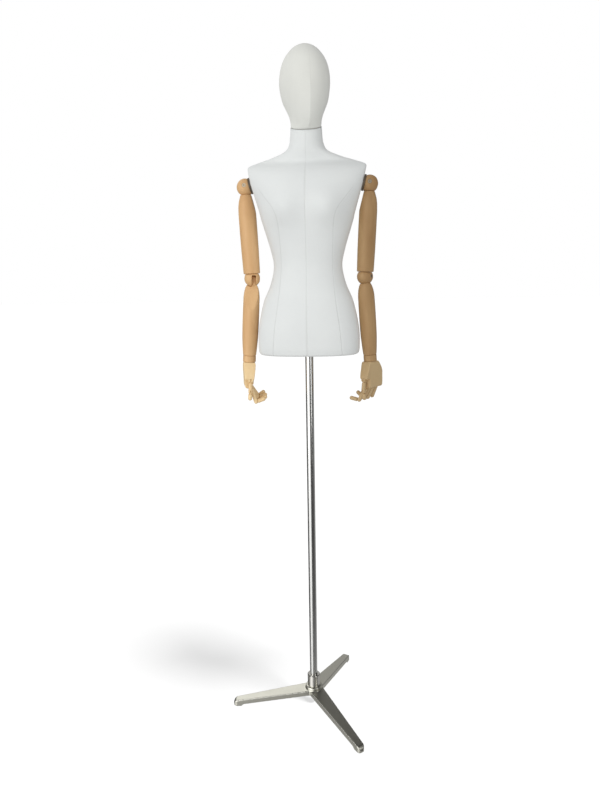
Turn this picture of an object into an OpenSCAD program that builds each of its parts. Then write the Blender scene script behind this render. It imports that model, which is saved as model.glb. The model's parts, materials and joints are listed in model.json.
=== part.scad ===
// Dress form mannequin: fabric-covered head and torso on a pole stand with a cast
// tripod base, and two wooden arms jointed at shoulder, elbow, wrist and fingers.
// Millimetres. Origin on the floor under the pole axis, +Z up, the chest faces -Y.
// "right" and "left" are the figure's own: its right arm is on the -X side.

/* [Stand] */
// Outer diameter of the pole
pole_d = 25; // [22:0.5:28]
// Wall thickness of the pole tube
pole_wall = 1.5; // [1:0.5:2.5]
// Height of the pole's top end above the floor
pole_top_z = 1548; // [1480:1:1560]
// Distance from the pole axis to the end of each leg
leg_reach = 278; // [250:1:300]
// Width of a leg where it leaves the hub
leg_root_w = 49; // [44:1:52]
// Width of a leg at its rounded tip
leg_tip_w = 25; // [22:1:28]
// Height of a leg's upper face at the hub
leg_top_z = 62; // [56:1:68]
// Compass angles of the three legs about the pole
leg_angles = [66, 186, 306];
// Diameter of the collar on top of the base
collar_d = 42; // [38:1:46]
// Height of the collar's top above the floor
collar_top_z = 113; // [100:1:125]

/* [Torso] */
// Height of the hem above the floor
hem_z = 1218; // [1200:1:1230]
// Thickness of the moulded torso and head shells
shell_t = 5; // [4:0.5:6]
// Slope of the neck joint, falling towards the chest, in degrees
neck_tilt = 20; // [10:1:25]
// Lean of the flat armhole faces, in degrees
armhole_tilt = 14; // [8:1:18]
// Turn of the head towards the figure's left, in degrees
head_yaw = 14; // [0:1:30]

/* [Arms] */
// Distance of each shoulder ball from the middle plane
shoulder_x = 182.5; // [182:0.5:186]
// Height of the shoulder ball centres above the floor
shoulder_z = 1711; // [1705:1:1714]
// Radius of the shoulder balls
shoulder_r = 25.5; // [24:0.5:27]
// Radius of the elbow balls
elbow_r = 24; // [22:0.5:25]
// Length from the shoulder bolt to the end of the upper arm
upper_arm_l = 254; // [235:1:270]
// Length from the elbow bolt to the wrist end of the forearm
forearm_l = 235; // [220:1:250]
// Inward lean of the upper arms, in degrees
upper_arm_lean = 2.6; // [2:0.1:3]
// Outward lean of the forearms, in degrees
forearm_lean = 3.9; // [3.6:0.1:4.5]
// Length of the palm from the wrist ring to the knuckles
palm_l = 76; // [72:1:82]

/* [Hidden] */
$fn = 48;

steel = "silver";
cast = "darkgray";
wood = "burlywood";
pale_wood = "wheat";
cover = "whitesmoke";

run_gap = 0.05;          // radial clearance of a turning or sliding fit
face_gap = 0.4;          // gap between faces that move past each other
pole_r = pole_d / 2;
pole_foot_z = 48;        // lower end of the pole, inside the hub
hub_r = leg_root_w / 2 / sin(60);
pad_r = 9;
pad_x = leg_reach - 14;
bolt_seat_r = 11;        // flat under the hub for the head of the pole bolt
bolt_seat_z = leg_top_z - 17.2;

// Hem recess: the clamp hangs below the bottom plate and stays above the hem
clamp_z = hem_z + 4;
clamp_h = 21;
clamp_r = 19;
knob_z = clamp_z + clamp_h / 2;
flange_z = clamp_z + clamp_h + 0.5;
flange_h = 6;
flange_r = 35;
guide_r = 16.5;
guide_l = 176;
plate_z = flange_z + flange_h;
plate_h = 12;
screw_pcd = 52;

neck_z = 1871.5;         // centre of the neck joint plane
neck_gap = 1;
neck_pin_r = 8;
neck_board_t = 12;

// Torso stations: height, half width, depth to the front, depth to the back, squareness
torso_rows = [
  [hem_z, 153.5, 94, 98, 2.5],
  [1245, 155, 98, 103, 2.5],
  [1290, 153.5, 101, 107, 2.4],
  [1335, 146, 98, 104, 2.3],
  [1380, 134.5, 92, 96, 2.2],
  [1430, 113.5, 83, 87, 2.1],
  [1483, 102.5, 77, 80, 2.05],
  [1530, 111, 82, 82, 2.05],
  [1584, 127, 93, 88, 2.1],
  [1620, 137.5, 101, 92, 2.2],
  [1650, 146, 104, 94, 2.2],
  [1680, 156.5, 101, 95, 2.2],
  [1712, 168, 92, 92, 2.2],
  [1738, 176.5, 78, 82, 2.1],
  [1756, 178.5, 61, 66, 1.9],
  [1767, 171, 46, 52, 1.65],
  [1776, 147, 40, 46, 1.45],
  [1791, 98, 43, 47, 1.6],
  [1807, 61, 46, 47, 1.95],
  [1825, 50, 45, 45, 2],
  [1845, 46.5, 43.7, 43.7, 2],
  [neck_z - neck_gap / 2, 45, 42.3, 42.3, 2]];

// Bust: a rounded fullness on each side of the chest
bust_x = 66;
bust_z = 1640;
bust_fullness = 17;

// Head stations: height, half width, depth to the front, depth to the back, squareness
head_rows = [
  [neck_z + neck_gap / 2, 44, 41.5, 41.5, 2],
  [1889, 45, 53, 50, 2],
  [1905, 49.5, 66, 60, 2],
  [1920, 56.5, 77, 69, 2],
  [1935, 63, 85, 77, 2.05],
  [1951, 67, 90, 84, 2.1],
  [1968, 70, 93, 89, 2.1],
  [1987, 71.5, 94, 93, 2.1],
  [2008, 70, 91, 94, 2.1],
  [2028, 66, 85, 91, 2.05],
  [2045, 59.5, 76, 84, 2],
  [2060, 50, 63, 71, 2],
  [2074, 37, 46, 53, 2],
  [2083, 22, 28, 32, 2],
  [2089, 6, 8, 9, 2]];

// Arms. Side 1 is the left and side -1 the right; each arm is built in a frame whose
// +X points away from the body, and the right one is mirrored.
bolt_rise = 4;           // the shoulder bolt sits above the ball's centre
shoulder_gap = 0.9;      // space between the shoulder ball and the hollow over it
elbow_gap = 0.6;         // the same at the elbow
pivot_tail = 16;         // length of the shoulder pivot inside the torso
shoulder_bolt_half = 20.5;
elbow_bolt_half = 19.5;
ball_flat = 13.7;        // distance of the ball's flat face from its centre
arm_face = 20.7;         // distance from the ball's centre to the armhole face
plate_t = 1.2;
tongue_t = 12;
tongue_gap = 0.2;
shoulder_tongue_r = 8;
elbow_tongue_r = 8.5;
elbow_tongue_y = -6;     // the elbow's tongue sits nearer the body
pivot_r = 4;
bolt_r = 3;
dowel_r = 7;
socket_z = 13.5;         // flat top of the elbow ball above its centre
ring_h = 20;
ring_r = 20;
wrist_dowel_r = 6;
elbow_drop = upper_arm_l + face_gap + socket_z;

// Digits: 0 index, 1 middle, 2 ring, 3 little, 4 thumb
thumb = 4;
finger_r = 6.3;
base_l = [52, 54, 52, 46, 36];
tip_l = [32, 34, 32, 27, 27];
knuckle_r = 7.5;
palm_t = 28;
palm_half_w = 34.5;
thumb_room = 0.5;        // keeps the ball of the index knuckle clear of the thumb
pin_r = 1.5;
pin_l = 10;
lug_t = 3.2;             // thickness of the flat lug on each finger piece
lug_r = 4.2;
lug_gap = 0.2;
lug_room = 0.8;          // space around the rounded end of a lug
body_drop = 8;           // a finger's round body starts this far below its knuckle pin
// Knuckle pin of each digit in the palm frame
knuckles = [for (x = [14.1, 0.2, -13.7, -27.6]) [x, knuckle_r - palm_t / 2, -palm_l],
  [27.5, -4, -55]];
// Roll of the bending plane, bend at the knuckle and bend at the middle joint
right_curl = [[0, 20, 93], [0, 26, 93], [0, 32, 92], [0, 37, 91], [90, 2, -6]];
left_curl = [[28, 33, 72], [0, 38, 86], [0, 34, 86], [0, 30, 86], [90, 12, -22]];
// Directions about the vertical, in the outward frame
right_hand_yaw = -104;   // thumb side
left_hand_yaw = -136;
right_elbow_yaw = -96;   // direction in which the elbow folds
left_elbow_yaw = 58;

function curl(s) = s > 0 ? left_curl : right_curl;

// ---- smooth lofted shells ----

function row_at(rows, z, i = 0) =
  i >= len(rows) - 2 || z < rows[i + 1][0] ? i : row_at(rows, z, i + 1);
function row_slope(rows, i, k) =
  let (lo = max(i - 1, 0), hi = min(i + 1, len(rows) - 1))
  (rows[hi][k] - rows[lo][k]) / (rows[hi][0] - rows[lo][0]);
// Column k of the stations at height z, on a smooth curve through all of them
function smooth(rows, height, k) =
  let (z = min(max(height, rows[0][0]), rows[len(rows) - 1][0]),
       i = row_at(rows, z), h = rows[i + 1][0] - rows[i][0], t = (z - rows[i][0]) / h)
  (2 * t ^ 3 - 3 * t ^ 2 + 1) * rows[i][k] + (t ^ 3 - 2 * t ^ 2 + t) * h * row_slope(rows, i, k)
  + (3 * t ^ 2 - 2 * t ^ 3) * rows[i + 1][k] + (t ^ 3 - t ^ 2) * h * row_slope(rows, i + 1, k);
function power(v, n) = sign(v) * pow(abs(v), 2 / n);
function ramp(z, lo, hi) = let (t = min(max((z - lo) / (hi - lo), 0), 1)) t * t * (3 - 2 * t);
function bust(x, z) =
  bust_fullness * exp(-pow((abs(x) - bust_x) / 44, 2) - pow((z - bust_z) / 42, 2));

// Inner cross-sections are lowered where the shell turns over towards the horizontal
function sink(inset, z, lo, hi) = 1.5 * inset * ramp(z, lo, hi);

// One cross-section, moved in by "inset"; "sides" points around
function torso_ring(z, inset, sides) =
  let (a = smooth(torso_rows, z, 1) - inset, f = smooth(torso_rows, z, 2) - inset,
       b = smooth(torso_rows, z, 3) - inset, n = smooth(torso_rows, z, 4),
       fall = tan(neck_tilt) * ramp(z, 1800, 1860))
  [for (i = [0:sides - 1])
    let (t = 360 * i / sides, x = a * power(cos(t), n), d = power(sin(t), n),
         y = d < 0 ? d * (f + bust(x, z) * (inset > 0 ? 0.9 : 1)) : d * b)
    [x, y, z + y * fall - sink(inset, z, 1690, 1750)]];
function head_ring(z, inset, sides) =
  let (a = max(smooth(head_rows, z, 1) - inset, 1), f = max(smooth(head_rows, z, 2) - inset, 1),
       b = max(smooth(head_rows, z, 3) - inset, 1), n = smooth(head_rows, z, 4),
       fall = tan(neck_tilt) * (1 - ramp(z, 1880, 1960)), yaw = head_yaw)
  [for (i = [0:sides - 1])
    let (t = 360 * i / sides, x = a * power(cos(t), n), d = power(sin(t), n),
         y = d < 0 ? d * f : d * b,
         px = x * cos(yaw) - y * sin(yaw), py = x * sin(yaw) + y * cos(yaw))
    [px - 3 * ramp(z, 1880, 1990), py, z + py * fall - sink(inset, z, 1992, 2062)]];

module loft(rings) {
  m = len(rings);
  n = len(rings[0]);
  polyhedron(
    points = [for (r = rings) each r],
    faces = [
      [for (i = [0:n - 1]) i],
      [for (i = [n - 1:-1:0]) (m - 1) * n + i],
      for (j = [0:m - 2], i = [0:n - 1])
        each let (a = j * n + i, b = j * n + (i + 1) % n, c = a + n, d = b + n)
          [[a, d, b], [a, c, d]]]);
}

// Heights of the cross-sections: "steps" between neighbouring stations
function levels(rows, steps) =
  [for (i = [0:len(rows) - 2], j = [0:steps - 1])
    rows[i][0] + (rows[i + 1][0] - rows[i][0]) * j / steps,
   rows[len(rows) - 1][0]];

// ---- placing helpers ----

module mirror_side(s) { mirror([s < 0 ? 1 : 0, 0, 0]) children(); }
// Local frame of the shoulder ball: origin at its centre
module at_shoulder(s) { mirror_side(s) translate([shoulder_x, 0, shoulder_z]) children(); }
// Frame along the shoulder's turning axis: +Z points out of the armhole
module along_armhole() { rotate([0, 90 + armhole_tilt, 0]) children(); }
// Upper arm frame: origin at the shoulder bolt, the arm hangs along -Z
module at_upper_arm(s) {
  at_shoulder(s) translate([0, 0, bolt_rise]) rotate([0, upper_arm_lean, 0]) children();
}
module at_elbow(s) { at_upper_arm(s) translate([0, 0, -elbow_drop]) children(); }
// Forearm frame: origin at the elbow, the forearm hangs along -Z
module at_forearm(s) {
  at_elbow(s) rotate([0, -upper_arm_lean - forearm_lean, 0]) children();
}
// Elbow hinge frame: +X is the direction in which the forearm folds, Y is the bolt
module at_elbow_hinge(s) {
  at_forearm(s) rotate([0, 0, s > 0 ? left_elbow_yaw : right_elbow_yaw]) children();
}
// Palm frame: +X to the thumb, +Y to the back of the hand, fingers along -Z
module at_palm(s) {
  at_forearm(s) translate([0, 0, -forearm_l - ring_h])
    rotate([0, 0, s > 0 ? left_hand_yaw : right_hand_yaw]) children();
}
// Straight frame at a digit's knuckle: X is the pin, the digit bends towards -Y
module at_knuckle(s, i) {
  at_palm(s) translate(knuckles[i]) rotate([0, 0, curl(s)[i][0]]) children();
}
module at_base(s, i) { at_knuckle(s, i) rotate([-curl(s)[i][1], 0, 0]) children(); }
module at_tip(s, i) {
  at_base(s, i) translate([0, 0, -base_l[i]]) rotate([-curl(s)[i][2], 0, 0]) children();
}

// ---- stand ----

module leg_side() {
  toe_r = 16;
  polygon([
    [0, leg_top_z - 18], [leg_root_w / 2, leg_top_z - 19.5], [leg_reach - 34, 9],
    [leg_reach - 26, 2], [leg_reach - 3, 2],
    for (a = [-10:10:80]) [leg_reach - toe_r + toe_r * cos(a), 8 + toe_r * sin(a)],
    [leg_root_w / 2, leg_top_z - 2], [0, leg_top_z - 1]]);
}
module leg_plan() {
  tip = leg_tip_w / 2;
  polygon([
    [0, -leg_root_w / 2], [hub_r, -leg_root_w / 2],
    for (a = [-84:12:84]) [leg_reach - tip + tip * cos(a), tip * sin(a)],
    [hub_r, leg_root_w / 2], [0, leg_root_w / 2]]);
}
module leg() {
  intersection() {
    linear_extrude(height = 100) leg_plan();
    rotate([90, 0, 0]) linear_extrude(height = 80, center = true) leg_side();
  }
}
module tripod_base() color(cast) difference() {
  union() {
    for (a = leg_angles) rotate([0, 0, a]) leg();
    translate([0, 0, leg_top_z - 12]) cylinder(r = hub_r - 0.5, h = 12);
    translate([0, 0, leg_top_z - 1])
      rotate_extrude() polygon([[0, 0], [28, 0], [28, 6], [27, 9], [25, 11], [0, 11]]);
  }
  translate([0, 0, pole_foot_z]) cylinder(r = pole_r, h = 60);
  cylinder(r = 5.3, h = 100);
  cylinder(r = bolt_seat_r, h = bolt_seat_z);
  for (a = leg_angles) rotate([0, 0, a]) translate([pad_x, 0, -1]) cylinder(r = pad_r, h = 6);
}
module foot_pads() color("dimgray")
  for (a = leg_angles) rotate([0, 0, a]) translate([pad_x, 0, 0]) cylinder(r = pad_r, h = 5);
module base_collar() color(steel) difference() {
  rotate_extrude() polygon([
    [pole_r, leg_top_z + 10], [collar_d / 2, leg_top_z + 10],
    [collar_d / 2, collar_top_z - 2], [collar_d / 2 - 2, collar_top_z],
    [pole_r, collar_top_z]]);
  translate([0, 0, collar_top_z - 18]) rotate([-90, 0, 0]) cylinder(r = 3, h = 40);
}
module collar_set_screw() color(steel)
  translate([0, pole_r, collar_top_z - 18]) rotate([-90, 0, 0]) difference() {
    cylinder(r = 3, h = 8);
    translate([0, 0, 5]) cylinder(r = 1.6, h = 4, $fn = 6);
  }
module pole() color(steel) translate([0, 0, pole_foot_z]) difference() {
  cylinder(r = pole_r, h = pole_top_z - pole_foot_z);
  translate([0, 0, -1]) cylinder(r = pole_r - pole_wall, h = pole_top_z);
}
module pole_foot_plug() color(steel) translate([0, 0, pole_foot_z]) difference() {
  cylinder(r = pole_r - pole_wall, h = 30);
  translate([0, 0, -1]) cylinder(r = 5, h = 27);
}
module pole_bolt() color(steel) {
  head_z = pole_foot_z - 19;
  translate([0, 0, head_z + 6]) cylinder(r = 5, h = 36);
  translate([0, 0, head_z]) difference() {
    cylinder(r = 9, h = bolt_seat_z - head_z);
    translate([0, 0, -1]) cylinder(r = 4, h = 5, $fn = 6);
  }
}
module pole_top_cap() color("dimgray") {
  translate([0, 0, pole_top_z]) cylinder(r = pole_r, h = 3);
  translate([0, 0, pole_top_z - 15]) cylinder(r = pole_r - pole_wall, h = 16);
}

// ---- height clamp, inside the hem ----

module clamp_collar() color(steel) difference() {
  translate([0, 0, clamp_z]) cylinder(r = clamp_r, h = clamp_h);
  translate([0, 0, clamp_z - 1]) cylinder(r = pole_r + run_gap, h = clamp_h + 2);
  translate([0, 0, knob_z]) rotate([-90, 0, 0]) cylinder(r = 4 + run_gap, h = 40);
}
module clamp_knob() color("dimgray") translate([0, 0, knob_z]) rotate([-90, 0, 0]) {
  translate([0, 0, pole_r + 0.6]) cylinder(r = 4, h = 38);
  translate([0, 0, 48]) difference() {
    cylinder(r = 13.5, h = 18);
    for (a = [0:60:300]) rotate([0, 0, a]) translate([16, 0, -1]) cylinder(r = 4.5, h = 20);
  }
}

// ---- torso ----

module outside_armholes(inset) {
  for (s = [-1, 1])
    at_shoulder(s) along_armhole() translate([-150, -150, -arm_face - inset]) cube([300, 300, 200]);
}
module torso_shell() color(cover) difference() {
  loft([for (z = levels(torso_rows, 2)) torso_ring(z, 0, 36)]);
  outside_armholes(0);
  difference() {
    loft([for (z = concat([hem_z - 3], levels(torso_rows, 1), [neck_z + 20]))
      torso_ring(z, shell_t, 24)]);
    outside_armholes(shell_t);
  }
  for (s = [-1, 1]) at_shoulder(s) along_armhole() translate([0, 0, -60]) cylinder(r = 7, h = 60);
}
module bottom_plate() color("tan") difference() {
  translate([0, 0, plate_z]) linear_extrude(height = plate_h)
    polygon([for (p = torso_ring(plate_z, shell_t + 1, 24)) [p[0], p[1]]]);
  translate([0, 0, plate_z - 1]) cylinder(r = guide_r, h = plate_h + 2);
  for (a = [45:90:315]) rotate([0, 0, a]) translate([screw_pcd / 2, 0, plate_z - 1])
    cylinder(r = 2, h = 11);
}
module pole_flange() color(steel) difference() {
  union() {
    translate([0, 0, flange_z]) cylinder(r = flange_r, h = flange_h);
    translate([0, 0, flange_z]) cylinder(r = guide_r, h = guide_l);
  }
  translate([0, 0, flange_z - 1]) cylinder(r = pole_r + run_gap, h = guide_l + 2);
  for (a = [45:90:315]) rotate([0, 0, a]) translate([screw_pcd / 2, 0, flange_z])
    rotate_extrude() polygon([[0, -1], [4.5, -1], [4.5, 0], [2, 2.5], [2, 9], [0, 9]]);
}
module flange_screws() color(steel)
  for (a = [45:90:315]) rotate([0, 0, a]) translate([screw_pcd / 2, 0, flange_z])
    rotate_extrude() polygon([[0, 0], [4.5, 0], [2, 2.5], [2, 15], [0, 16]]);
module armhole_plates() color(steel)
  for (s = [-1, 1]) at_shoulder(s) along_armhole() translate([0, 0, -arm_face]) difference() {
    cylinder(r = 21, h = plate_t);
    translate([0, 0, -1]) cylinder(r = 6, h = 5);
  }
module shoulder_discs() color(wood)
  for (s = [-1, 1]) at_shoulder(s) along_armhole()
    translate([0, 0, -arm_face + plate_t]) difference() {
      cylinder(r = 23.5, h = arm_face - plate_t - ball_flat - face_gap);
      translate([0, 0, -1]) cylinder(r = pivot_r + run_gap, h = 20);
    }
module in_neck_plane() { translate([0, 0, neck_z]) rotate([neck_tilt, 0, 0]) children(); }
// Board with the outline of a cross-section, between two planes parallel to the neck joint
module neck_board(ring, lowest) intersection() {
  translate([0, 0, neck_z - 60]) linear_extrude(height = 120) polygon([for (p = ring) [p[0], p[1]]]);
  in_neck_plane() translate([-60, -60, lowest]) cube([120, 120, neck_board_t]);
}
module neck_plate() color("tan") difference() {
  neck_board(torso_ring(neck_z, shell_t + 0.5, 24), -neck_gap / 2 - neck_board_t);
  in_neck_plane() cylinder(r = neck_pin_r + run_gap, h = 60, center = true);
}

// ---- head ----

module head_shell() color(cover) difference() {
  loft([for (z = levels(head_rows, 2)) head_ring(z, 0, 32)]);
  loft([for (z = concat([neck_z - 6], [for (i = [1:len(head_rows) - 3]) head_rows[i][0]]))
    head_ring(z, shell_t, 24)]);
}
module head_plug() color("tan") difference() {
  neck_board(head_ring(neck_z, shell_t + 0.5, 24), neck_gap / 2);
  in_neck_plane() cylinder(r = neck_pin_r, h = 60, center = true);
}
module neck_pin() color(steel) in_neck_plane() translate([0, 0, -30])
  cylinder(r = neck_pin_r, h = 30 + neck_gap / 2 + neck_board_t);

// ---- arms ----

module shoulder_pivot(s) color(steel) at_shoulder(s) along_armhole() {
  translate([0, 0, -arm_face - pivot_tail]) {
    cylinder(r = pivot_r, h = arm_face + pivot_tail - 10);
    cylinder(r = 9, h = 6);
  }
}
module shoulder_ball(s) color(wood) at_shoulder(s) difference() {
  sphere(r = shoulder_r);
  along_armhole() translate([-40, -40, -40 - ball_flat]) cube([80, 80, 40]);
  along_armhole() translate([0, 0, -30]) cylinder(r = pivot_r, h = 20);
  translate([-shoulder_tongue_r - 1.8, -tongue_t / 2 - tongue_gap, -40])
    cube([60, tongue_t + 2 * tongue_gap, 40 + bolt_rise + shoulder_tongue_r + 0.8]);
  translate([0, 0, bolt_rise]) rotate([90, 0, 0]) {
    cylinder(r = bolt_r, h = 80, center = true);
    translate([0, 0, shoulder_bolt_half]) cylinder(r = 6, h = 10);
    translate([0, 0, -shoulder_bolt_half - 10]) cylinder(r = 6, h = 10);
  }
}
// Bolt along Y with a socket head in front and a capped nut behind
module cross_bolt(r, half_l, head_r, head_h) {
  rotate([90, 0, 0]) {
    cylinder(r = r, h = 2 * half_l, center = true);
    translate([0, 0, -half_l - head_h]) cylinder(r = head_r, h = head_h);
    translate([0, 0, half_l]) difference() {
      cylinder(r = head_r, h = head_h);
      translate([0, 0, 1]) cylinder(r = head_r * 0.5, h = head_h, $fn = 6);
    }
  }
}
module shoulder_bolt(s) color(steel) at_shoulder(s) translate([0, 0, bolt_rise])
  cross_bolt(bolt_r, shoulder_bolt_half, 5.4, 3);

module upper_arm(s) color(wood) at_upper_arm(s) difference() {
  union() {
    difference() {
      rotate_extrude() polygon([
        [0, -upper_arm_l], [23.5, -upper_arm_l], [25, -upper_arm_l + 1.5], [26.2, -190],
        [26.5, -130], [26.3, -80], [25.2, -58], [22.8, -44], [19.5, -34], [17, -26],
        [15.5, -16], [0, -16]]);
      // hollow that clears the shoulder ball
      translate([0, 0, -bolt_rise]) sphere(r = shoulder_r + shoulder_gap);
      // flat that clears the side of the torso
      translate([-15, 0, -24]) rotate([0, 11.5, 0]) translate([-40, -40, -80]) cube([40, 80, 110]);
    }
    tongue(shoulder_tongue_r, 34);
  }
  rotate([90, 0, 0]) cylinder(r = bolt_r + run_gap, h = 80, center = true);
  translate([0, 0, -upper_arm_l - 1]) cylinder(r = dowel_r + run_gap, h = 32);
}
// Flat tongue with a rounded end about the bolt along Y
module tongue(r, l) {
  rotate([90, 0, 0]) cylinder(r = r, h = tongue_t, center = true);
  translate([-r, -tongue_t / 2, -l]) cube([2 * r, tongue_t, l]);
}

module elbow_ball(s) color(wood) difference() {
  at_elbow(s) {
    intersection() {
      sphere(r = elbow_r);
      translate([-50, -50, -50]) cube([100, 100, 50 + socket_z]);
    }
    cylinder(r = dowel_r, h = socket_z + 29);
  }
  at_elbow_hinge(s) {
    translate([-elbow_tongue_r - 1, elbow_tongue_y - tongue_t / 2 - tongue_gap, -60])
      cube([80, tongue_t + 2 * tongue_gap, 60 + elbow_tongue_r + 1]);
    rotate([90, 0, 0]) cylinder(r = bolt_r, h = 80, center = true);
    for (a = [90, -90]) rotate([a, 0, 0]) translate([0, 0, elbow_bolt_half]) cylinder(r = 5.5, h = 10);
  }
}
module elbow_bolt(s) color(steel) at_elbow_hinge(s)
  cross_bolt(bolt_r, elbow_bolt_half, 5, 2.5);

module fold_flat() {
  translate([5, 0, -20]) rotate([0, -15, 0]) translate([0, -40, -110]) cube([40, 80, 110]);
}
module forearm(s) color(wood) at_elbow_hinge(s) difference() {
  union() {
    difference() {
      rotate_extrude() polygon([
        [0, -forearm_l], [19, -forearm_l], [20.3, -forearm_l + 1.3], [22.3, -212],
        [24.4, -180], [25.2, -140], [25.2, -90], [24.6, -55], [22.6, -38], [19.5, -27],
        [15, -18], [0, -18]]);
      sphere(r = elbow_r + elbow_gap);
      fold_flat();
    }
    translate([0, elbow_tongue_y, 0]) difference() {
      tongue(elbow_tongue_r, 34);
      fold_flat();
    }
  }
  rotate([90, 0, 0]) cylinder(r = bolt_r + run_gap, h = 80, center = true);
  translate([0, 0, -forearm_l - 1]) cylinder(r = wrist_dowel_r + run_gap, h = 20);
}
module wrist_ring(s) color(wood) at_forearm(s) translate([0, 0, -forearm_l - ring_h])
  rotate_extrude() polygon([
    [wrist_dowel_r + run_gap, face_gap], [ring_r - 1, face_gap], [ring_r, 1.4],
    [ring_r, ring_h - 1], [ring_r - 1, ring_h], [wrist_dowel_r + run_gap, ring_h]]);

// ---- hands ----

// Palm seen from the back: narrow at the wrist, a step under the thumb's root
module palm_outline() {
  low = -palm_l - 6;
  polygon([
    [-18, 0], [18, 0], [21, -6], [26, -22], [33, -41], [34.5, -48], [33, -52],
    [20.3, -52], [20.3, low + 2], [18.3, low], [2 - palm_half_w, low], [-palm_half_w, low + 2],
    [-palm_half_w, -34], [-30, -20], [-22, -6]]);
}
// Palm seen from the side, with the knuckle corner cut away for the barrel
module palm_side() {
  h = palm_t / 2;
  low = -palm_l - 6;
  polygon([
    [-17, 0], [17, 0], [18.5, -8], [17.5, -24], [h + 1, -46], [h, -60], [h - 1.5, low + 6],
    [h - 5, low + 1.5], [h - 8, low], [knuckle_r - h, low],
    [knuckle_r - h, -palm_l + knuckle_r], [-h, -palm_l + knuckle_r],
    [-h - 1, -46], [-17.5, -24], [-18.5, -8]]);
}
module palm(s) color(pale_wood) at_palm(s) difference() {
  union() {
    intersection() {
      rotate([90, 0, 0]) linear_extrude(height = 60, center = true) palm_outline();
      rotate([90, 0, 90]) linear_extrude(height = 90, center = true) palm_side();
    }
    cylinder(r = wrist_dowel_r, h = ring_h + 17);
    // knuckle barrel, with a ball at the index finger
    translate([-palm_half_w, knuckles[0][1], -palm_l]) rotate([0, 90, 0])
      cylinder(r = knuckle_r, h = palm_half_w + knuckles[0][0]);
    translate(knuckles[0]) sphere(r = knuckle_r - thumb_room);
    translate(knuckles[thumb]) rotate([90, 0, 0]) cylinder(r = 7, h = 14, center = true);
  }
  for (i = [0:thumb]) translate(knuckles[i]) rotate([0, 0, curl(s)[i][0]]) {
    translate([-lug_t / 2 - lug_gap, -60, -60])
      cube([lug_t + 2 * lug_gap, 60 + lug_r + lug_room, 60 + lug_r + lug_room]);
    rotate([0, 90, 0]) cylinder(r = pin_r, h = pin_l, center = true);
  }
}
module knuckle_pins(s) color("sienna")
  for (i = [0:thumb]) at_knuckle(s, i) rotate([0, 90, 0]) cylinder(r = pin_r, h = pin_l, center = true);

module lug() {
  rotate([0, 90, 0]) cylinder(r = lug_r, h = lug_t, center = true);
  translate([-lug_t / 2, -lug_r, -body_drop - 3]) cube([lug_t, 2 * lug_r, body_drop + 3]);
}
module pin_bore() { rotate([0, 90, 0]) cylinder(r = pin_r + run_gap, h = 20, center = true); }
// First piece of a digit: lug above, forked round end with its dowel below
module digit_base(s, i) color(pale_wood) at_base(s, i) {
  difference() {
    union() {
      translate([0, 0, -base_l[i]]) cylinder(r = finger_r, h = base_l[i] - body_drop);
      translate([0, 0, -base_l[i]]) sphere(r = finger_r);
      lug();
    }
    pin_bore();
    translate([-lug_t / 2 - lug_gap, -20, -base_l[i] - 20])
      cube([lug_t + 2 * lug_gap, 40, 20 + lug_r + lug_room]);
  }
  translate([0, 0, -base_l[i]]) rotate([0, 90, 0])
    cylinder(r = pin_r, h = 2 * finger_r - 2, center = true);
}
// Last piece of a digit: lug above, rounded fingertip below
module digit_tip(s, i) color(pale_wood) at_tip(s, i) difference() {
  union() {
    translate([0, 0, finger_r - tip_l[i]]) cylinder(r = finger_r, h = tip_l[i] - 2 * finger_r - 0.5);
    translate([0, 0, finger_r - tip_l[i]]) sphere(r = finger_r);
    lug();
  }
  pin_bore();
}

tripod_base();
foot_pads();
base_collar();
collar_set_screw();
pole();
pole_foot_plug();
pole_bolt();
pole_top_cap();
clamp_collar();
clamp_knob();
torso_shell();
bottom_plate();
pole_flange();
flange_screws();
armhole_plates();
shoulder_discs();
neck_plate();
head_shell();
head_plug();
neck_pin();
shoulder_pivot(-1);  // right_shoulder_pivot
shoulder_ball(-1);  // right_shoulder_ball
shoulder_bolt(-1);  // right_shoulder_bolt
upper_arm(-1);  // right_upper_arm
elbow_ball(-1);  // right_elbow_ball
elbow_bolt(-1);  // right_elbow_bolt
forearm(-1);  // right_forearm
wrist_ring(-1);  // right_wrist_ring
palm(-1);  // right_palm
knuckle_pins(-1);  // right_knuckle_pins
digit_base(-1, 4);  // right_thumb_base
digit_tip(-1, 4);  // right_thumb_tip
digit_base(-1, 0);  // right_index_base
digit_tip(-1, 0);  // right_index_tip
digit_base(-1, 1);  // right_middle_base
digit_tip(-1, 1);  // right_middle_tip
digit_base(-1, 2);  // right_ring_base
digit_tip(-1, 2);  // right_ring_tip
digit_base(-1, 3);  // right_little_base
digit_tip(-1, 3);  // right_little_tip
shoulder_pivot(1);  // left_shoulder_pivot
shoulder_ball(1);  // left_shoulder_ball
shoulder_bolt(1);  // left_shoulder_bolt
upper_arm(1);  // left_upper_arm
elbow_ball(1);  // left_elbow_ball
elbow_bolt(1);  // left_elbow_bolt
forearm(1);  // left_forearm
wrist_ring(1);  // left_wrist_ring
palm(1);  // left_palm
knuckle_pins(1);  // left_knuckle_pins
digit_base(1, 4);  // left_thumb_base
digit_tip(1, 4);  // left_thumb_tip
digit_base(1, 0);  // left_index_base
digit_tip(1, 0);  // left_index_tip
digit_base(1, 1);  // left_middle_base
digit_tip(1, 1);  // left_middle_tip
digit_base(1, 2);  // left_ring_base
digit_tip(1, 2);  // left_ring_tip
digit_base(1, 3);  // left_little_base
digit_tip(1, 3);  // left_little_tip
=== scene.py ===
"""Looks of the dress form mannequin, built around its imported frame.

The cloth covers of the torso and head are lofted from cross-sections, the wooden parts are sanded
copies of their frame solids, and everything else keeps its frame mesh and gets a node material.
"""
import itertools
import json
import math

import bmesh
import bpy
import numpy as np
from mathutils import Matrix, Vector, noise

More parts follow.
